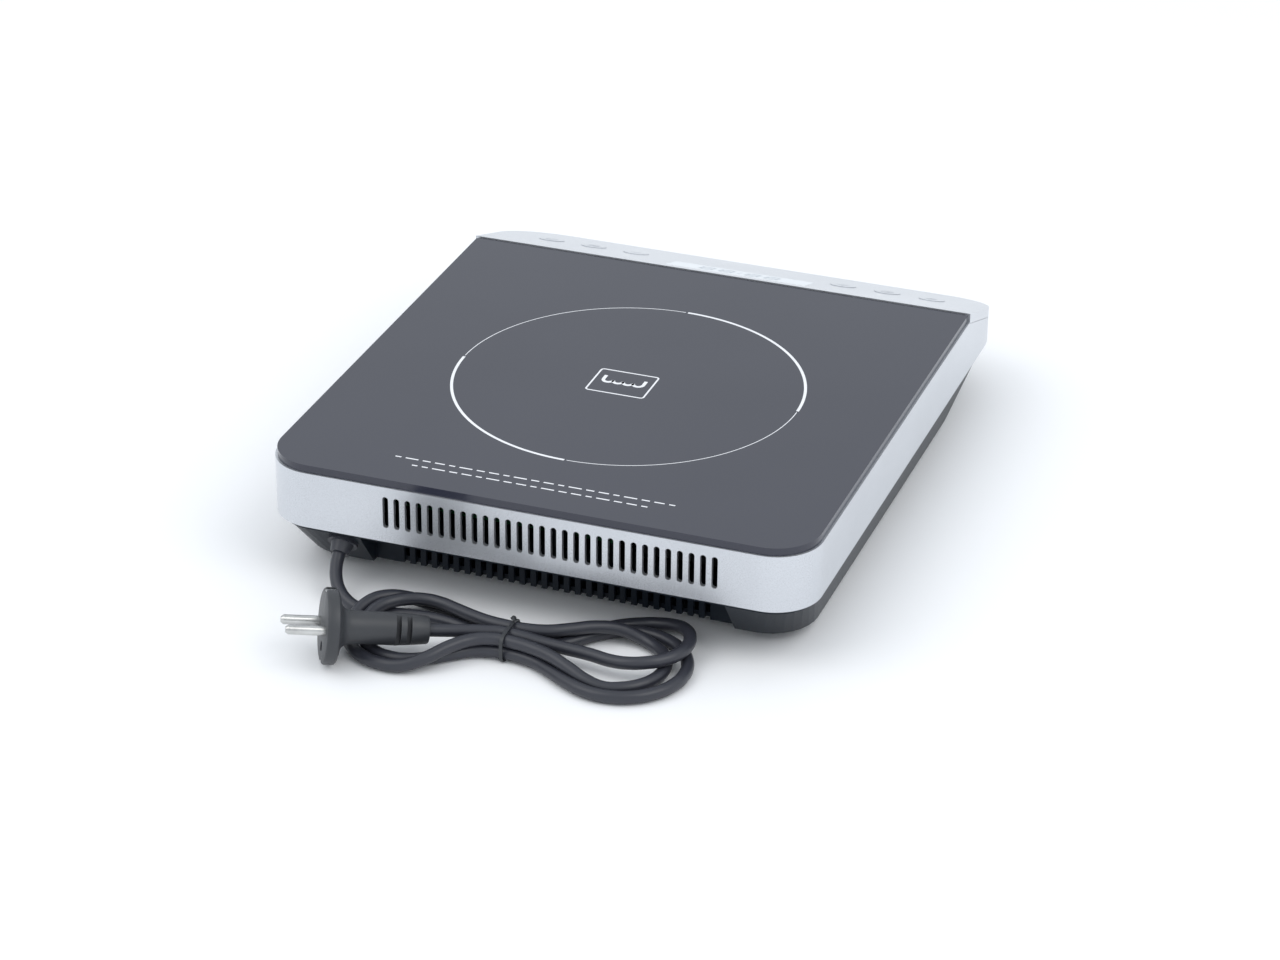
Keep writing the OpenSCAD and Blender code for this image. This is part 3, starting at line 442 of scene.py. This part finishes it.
def print_on_glass(white):
    """Ring of two heavy and two fine arcs, a framed coil symbol and two rows of dashes."""
    centre = (0, (GLASS_LOW.y + GLASS_HIGH.y) / 2 / MM)
    low = GLASS_HIGH.z / MM - INK_SINK
    high = low + PRINT_H

    ring = bmesh.new()
    for start, width in ((0, 1.5), (90, 0.45), (180, 1.5), (270, 0.45)):
        strip(ring, arc(centre, RING_R, start + 0.4, start + 89.6, 60), width, low, high)
    add_piece("zone_ring", mesh_from("zone_ring", ring), white)

    symbol = bmesh.new()
    half_w, half_h = 15.5, 12.5
    cx, cy = centre[0] + 3, centre[1] + 1
    frame_path = []
    for sx, sy, a in ((1, 1, 0), (-1, 1, 90), (-1, -1, 180), (1, -1, 270)):
        corner = (cx + sx * (half_w - 1.5), cy + sy * (half_h - 1.5))
        frame_path += arc(corner, 1.5, a, a + 90, 4)
    strip(symbol, frame_path, 0.9, low, high, closed=True)
    bumps = 4
    pitch = 5.4
    stroke = 1.8
    base_y = cy - 1.6
    leg = 4.4
    for i in range(bumps):
        x = cx + (i - (bumps - 1) / 2) * pitch
        strip(symbol, arc((x, base_y), pitch / 2, 0, 180, 10), stroke, low, high)
    for s in (-1, 1):
        x = cx + s * bumps / 2 * pitch
        strip(symbol, [(x, base_y), (x, base_y - leg)], stroke, low, high)
    add_piece("zone_symbol", mesh_from("zone_symbol", symbol), white)

    rows = bmesh.new()
    dash, gap = 5.2, 2.3
    for y, x0, x1 in ((148.5, -66, 80), (154.5, -54, 68)):
        x = x0
        index = 0
        while x < x1:
            length = dash * (0.6, 1.0, 0.8, 1.3)[index % 4]
            strip(rows, [(x, y), (min(x + length, x1), y)], 0.9, low, high)
            x += length + gap
            index += 1
    add_piece("glass_dashes", mesh_from("glass_dashes", rows), white)


# ---------------------------------------------------------------- plug, tie
PLUG_FACE_R = 18.5
CHANNEL_AT, CHANNEL_HALF = 19.5, 2.6      # the two side channels of the flange
SOCKET_R, SOCKET_AT = 2.5, -10            # the hole for an earth pin
SLOTS_AT, SLOT_WIDTH = (-42, -36.8), 2.4  # the boot's flexing slots, along its axis
SLOT_FROM, SLOT_TO = 3, 9                 # each is cut from the core outwards
PLUG_SHARP, CARVED_SHARP = 32, 32         # edges sharper than this stay sharp, in degrees
GRIP_FROM, GRIP_EASE, GRIP_FLAT = -9, 6, 0.06


def turned_profile(bm, profile, segments, flat=None):
    """Solid of revolution about x; flat(x, angle) scales the radius at that place."""
    rings = []
    for x, r in profile:
        ring = []
        for k in range(segments):
            a = 2 * math.pi * k / segments
            scale = flat(x, a) if flat else 1
            ring.append(bm.verts.new((x, r * scale * math.cos(a), r * scale * math.sin(a))))
        rings.append(ring)
    for a, b in zip(rings, rings[1:]):
        for k in range(segments):
            bm.faces.new((a[k], a[(k + 1) % segments], b[(k + 1) % segments], b[k]))
    bm.faces.new(rings[0])
    bm.faces.new(rings[-1][::-1])


def box_mesh(name, low, high, matrix):
    bm = bmesh.new()
    size = Vector(high) - Vector(low)
    middle = (Vector(high) + Vector(low)) / 2
    bmesh.ops.create_cube(bm, size=1, matrix=Matrix.Translation(middle)
                          @ Matrix.Diagonal((*size, 1)))
    return mesh_from(name, bm, matrix)


def carve(piece, cutter_meshes):
    """Cuts each mesh out of piece, and applies the cuts."""
    for data in cutter_meshes:
        cutter = bpy.data.objects.new(data.name, data)
        bpy.context.scene.collection.objects.link(cutter)
        cut = piece.modifiers.new("cut", "BOOLEAN")
        cut.operation = "DIFFERENCE"
        cut.solver = "EXACT"
        cut.object = cutter
        bpy.context.view_layer.update()
        graph = bpy.context.evaluated_depsgraph_get()
        done = bpy.data.meshes.new_from_object(piece.evaluated_get(graph))
        piece.modifiers.clear()
        piece.data = done
        bpy.data.objects.remove(cutter)
    piece.data.polygons.foreach_set("use_smooth", [True] * len(piece.data.polygons))
    piece.data.set_sharp_from_angle(angle=math.radians(CARVED_SHARP))


def make_plug(material):
    """Moulded plug body: rounded flange, flattened grip and a slotted boot."""
    bm = bmesh.new()
    face_r = PLUG_FACE_R
    fillet = [(-5.6, face_r - 0.1), (-6.4, 17.6), (-7.1, 15.4), (-7.8, 12.6), (-8.8, 10.4),
              (-10.4, 9.0), (-13, 8.3)]
    profile = [(0, 0.01), (0, face_r - 1.1), (-0.35, face_r - 0.45), (-1.1, face_r),
               (-4.9, face_r)] + fillet + [(-20, 8.0), (-28, 8.0), (-35, 8.1), (-37, 7.9),
               (-44, 7.4), (-50, 6.8), (-50.8, 6.3),
               (-PLUG_LENGTH, 5.6),
               (-PLUG_LENGTH, 0.01)]

    def grip(x, angle):
        """The grip is a little flatter than it is high."""
        if x > GRIP_FROM:
            return 1
        ease = min(1.0, (GRIP_FROM - x) / GRIP_EASE)
        return 1 - GRIP_FLAT * ease * math.cos(angle) ** 2

    turned_profile(bm, profile, 72, grip)
    matrix = plug_matrix()
    piece = bpy.data.objects.new("plug_moulding", mesh_from("plug_moulding", bm, matrix, PLUG_SHARP))
    bpy.context.scene.collection.objects.link(piece)
    cutters = []
    for s in (-1, 1):
        cutters.append(box_mesh("channel", (-5.1, -CHANNEL_HALF, s * CHANNEL_AT - 3),
                                (1, CHANNEL_HALF, s * CHANNEL_AT + 3), matrix))
    for x in SLOTS_AT:
        end = x + SLOT_WIDTH
        cutters.append(box_mesh("slot_a", (x, SLOT_FROM, -SLOT_TO), (end, SLOT_TO, SLOT_TO),
                                matrix))
        cutters.append(box_mesh("slot_b", (x, -SLOT_TO, -SLOT_TO), (end, -SLOT_FROM, SLOT_TO),
                                matrix))
    socket = bmesh.new()
    turned_profile(socket, [(-9, SOCKET_R), (2, SOCKET_R)], 24)
    cutters.append(mesh_from("socket", socket, matrix @ Matrix.Translation((0, 0, SOCKET_AT))))
    carve(piece, cutters)
    piece.data.materials.append(material)
    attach(piece, "root")
    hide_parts("plug_body")
    return piece


def make_tie(material):
    """Flat wire tie pulled round the strands, with its twisted ends on top."""
    half_y, low, high = 11.3, 0.25, 14.1
    band_w, band_t = 1.7, 0.7
    loop = []
    steps = 40
    for i in range(steps):
        a = 2 * math.pi * i / steps
        c, s = math.cos(a), math.sin(a)
        y = math.copysign(abs(c) ** 0.45, c) * half_y
        z = (low + high) / 2 + math.copysign(abs(s) ** 0.5, s) * (high - low) / 2
        loop.append(Vector((WAIST.y + y, z)))
    bm = bmesh.new()
    rings = []
    for i, p in enumerate(loop):
        along = (loop[(i + 1) % steps] - loop[i - 1]).normalized()
        out = Vector((along.y, -along.x)) * band_t
        ring = []
        for dx, q in ((-1, p), (1, p), (1, p + out), (-1, p + out)):
            ring.append(bm.verts.new((WAIST.x + dx * band_w / 2, q.x, max(q.y, 0.1))))
        rings.append(ring)
    for a, b in zip(rings, rings[1:] + rings[:1]):
        for k in range(4):
            bm.faces.new((a[k], a[(k + 1) % 4], b[(k + 1) % 4], b[k]))
    band = add_piece("tie_band", mesh_from("tie_band", bm), material)
    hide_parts("cord_tie")
    ends = []
    turns = 2.5
    for strand in (0, 1):
        points = []
        for i in range(26):
            u = i / 25
            a = 2 * math.pi * (turns * u + strand / 2)
            r = 0.45 if u < 0.75 else 0.45 + (u - 0.75) * 3
            points.append((WAIST.x - 0.5 + r * math.cos(a) + 2.5 * u, WAIST.y - 5 - 5 * u,
                           high + 0.9 + r * math.sin(a) - 1.2 * u * u))
        end = smooth_curve("tie_end_" + "ab"[strand], points, 0.8, 3)
        end.data.materials.append(material)
        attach(end, "root")
        ends.append(end)
    return [band] + ends


# ---------------------------------------------------------------- front details
PANEL_SLOPE = 19.3
PANEL_REAR = (0, -107.7, 65.7)     # middle of the panel's rear edge


def panel_matrix():
    """Frame of the sloping panel, as the keys are laid out: z is the panel's normal."""
    slope = math.radians(PANEL_SLOPE)
    return Matrix.Translation(PANEL_REAR) @ Matrix.Rotation(slope, 4, "X")


KEY_X = {"power": 110, "mode": 85, "minus": 60, "plus": -60, "timer": -85, "lock": -110}
KEY_V = -38
KEY_TOP = 0.3                 # height of a key above the panel
SIGN_WIDTH = 0.6
WINDOW_X, WINDOW_V = -6.5, -19


def key_strokes(kind):
    """Plan paths of a key's plain sign, about the key's centre."""
    if kind == "plus":
        return [[(-3, 0), (3, 0)], [(0, -3), (0, 3)]]
    if kind == "minus":
        return [[(-3, 0), (3, 0)]]
    if kind == "power":
        return [arc((0, -0.3), 3, -235, 55, 20), [(0, 0.6), (0, 3.6)]]
    if kind == "timer":
        return [arc((0, 0), 3.2, 0, 359, 24), [(0, 2.1), (0, 0), (1.6, -0.9)]]
    if kind == "lock":
        return [[(-2.4, -2.8), (2.4, -2.8), (2.4, 0.6), (-2.4, 0.6), (-2.4, -2.8)],
                arc((0, 0.6), 1.6, 0, 180, 10)]
    return [[(-3.2, y), (-1.2, y + 0.9), (1.2, y - 0.9), (3.2, y)] for y in (-2, 0, 2)]


def mark_keys(ink):
    for kind, x in KEY_X.items():
        bm = bmesh.new()
        for path in key_strokes(kind):
            strip(bm, [(x - px, KEY_V - py) for px, py in path], SIGN_WIDTH, KEY_TOP - INK_SINK,
                  KEY_TOP + PRINT_H)
        add_piece("sign_" + kind, mesh_from("sign_" + kind, bm, panel_matrix()), ink,
                  kind + "_key")


def digit_segments(ink):
    """Unlit segments of four figures and a colon, on the panel's window."""
    bm = bmesh.new()
    top = -0.02
    w, h, bar = 6.5, 11, 1.1
    for i in range(4):
        cx = WINDOW_X + (i - 1.5) * 11 + (2 if i > 1 else -2)
        cy = WINDOW_V
        corners = {(sx, sy): (cx + sx * w / 2, cy + sy * h / 2)
                   for sx in (-1, 1) for sy in (-1, 0, 1)}
        for a, b in (((-1, 1), (1, 1)), ((-1, 0), (1, 0)), ((-1, -1), (1, -1)),
                     ((-1, 1), (-1, 0)), ((-1, 0), (-1, -1)), ((1, 1), (1, 0)),
                     ((1, 0), (1, -1))):
            p, q = Vector(corners[a]), Vector(corners[b])
            inset = (q - p).normalized() * 0.9
            strip(bm, [p + inset, q - inset], bar, top, top + PRINT_H)
    for y in (WINDOW_V - 2.5, WINDOW_V + 2.5):
        strip(bm, [(WINDOW_X - 0.6, y), (WINDOW_X + 0.6, y)], 1.2, top, top + PRINT_H)
    add_piece("display_segments", mesh_from("display_segments", bm, panel_matrix()), ink)


# ---------------------------------------------------------------- edges of CAD nodes
BEVEL_ANGLE = 35              # edges sharper than this, in degrees, get the radius


def soften(node, width, segments=3):
    """Small moulded radius on a CAD node's edges, made by a modifier."""
    piece = NODES[node]
    bevel = piece.modifiers.new("radius", "BEVEL")
    bevel.width = width * MM
    bevel.segments = segments
    bevel.limit_method = "ANGLE"
    bevel.angle_limit = math.radians(BEVEL_ANGLE)
    bevel.use_clamp_overlap = True
    piece.data.polygons.foreach_set("use_smooth", [True] * len(piece.data.polygons))


# ---------------------------------------------------------------- stage
def area_light(name, place, target, size, power, colour):
    data = bpy.data.lights.new(name, "AREA")
    data.shape = "RECTANGLE"
    data.size, data.size_y = size
    data.energy = power
    data.color = colour
    lamp = bpy.data.objects.new(name, data)
    aim = (Vector(target) - Vector(place)).to_track_quat("-Z", "Y")
    lamp.matrix_world = Matrix.Translation(place) @ aim.to_matrix().to_4x4()
    bpy.context.scene.collection.objects.link(lamp)


FLOOR_HALF = 9                # metres
SKY_COLOUR, SKY_STRENGTH = (0.91, 0.955, 1.0, 1), 0.93
LAMP_COLOUR = (1, 0.985, 0.96)
AIM = (0, 0.05, 0)


def make_stage():
    """Pale floor, even sky and one soft lamp on each side, in metres."""
    bm = bmesh.new()
    half = FLOOR_HALF
    corners = [bm.verts.new((x, y, 0)) for x, y in ((-half, -half), (half, -half),
                                                    (half, half), (-half, half))]
    bm.faces.new(corners)
    data = bpy.data.meshes.new("floor")
    bm.to_mesh(data)
    bm.free()
    floor = bpy.data.objects.new("floor", data)
    bpy.context.scene.collection.objects.link(floor)
    data.materials.append(moulded("floor_paper", (0.93, 0.935, 0.95), (0.95, 0.955, 0.97),
                                  (0.6, 0.7), 60, 0.00002, cloud=1))

    world = bpy.data.worlds.new("studio")
    bpy.context.scene.world = world
    world.use_nodes = True
    sky = world.node_tree.nodes["Background"]
    sky.inputs["Color"].default_value = SKY_COLOUR
    sky.inputs["Strength"].default_value = SKY_STRENGTH
    area_light("key_light", (1.6, 1.3, 2.5), AIM, (2.2, 2.2), 21, LAMP_COLOUR)
    area_light("fill_light", (-1.8, 0.6, 2.2), AIM, (1.8, 1.8), 20, LAMP_COLOUR)
    bpy.context.scene.view_settings.view_transform = "Standard"
    bpy.context.scene.view_settings.look = "None"


# ---------------------------------------------------------------- build
place_camera()
MATERIALS = make_materials()
paint_nodes(MATERIALS)

plug = make_plug(MATERIALS["plug_rubber"])
tie = make_tie(MATERIALS["tie_black"])
route = cord_route()
cord = smooth_curve("mains_cord", route, CORD_D)
cord.data.materials.append(MATERIALS["cord_rubber"])
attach(cord, "root")
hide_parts("cord_lead", "cord_hank", "cord_tail")

WHITE_PRINT = moulded("white_print", (0.80, 0.81, 0.84), (0.88, 0.89, 0.92), (0.4, 0.5), 1500,
                      0.000004, cloud=120)
KEY_PRINT = moulded("key_print", (0.34, 0.36, 0.40), (0.40, 0.42, 0.46), (0.4, 0.5), 1500,
                    0.000004, cloud=120)
UNLIT_PRINT = moulded("unlit_print", (0.26, 0.31, 0.36), (0.30, 0.35, 0.40), (0.3, 0.4), 1500,
                      0.000004, cloud=120)
print_on_glass(WHITE_PRINT)
mark_keys(KEY_PRINT)
digit_segments(UNLIT_PRINT)

soften("glass_plate", 0.7)
soften("control_panel", 0.8)
soften("top_housing", 0.4, 2)
make_stage()
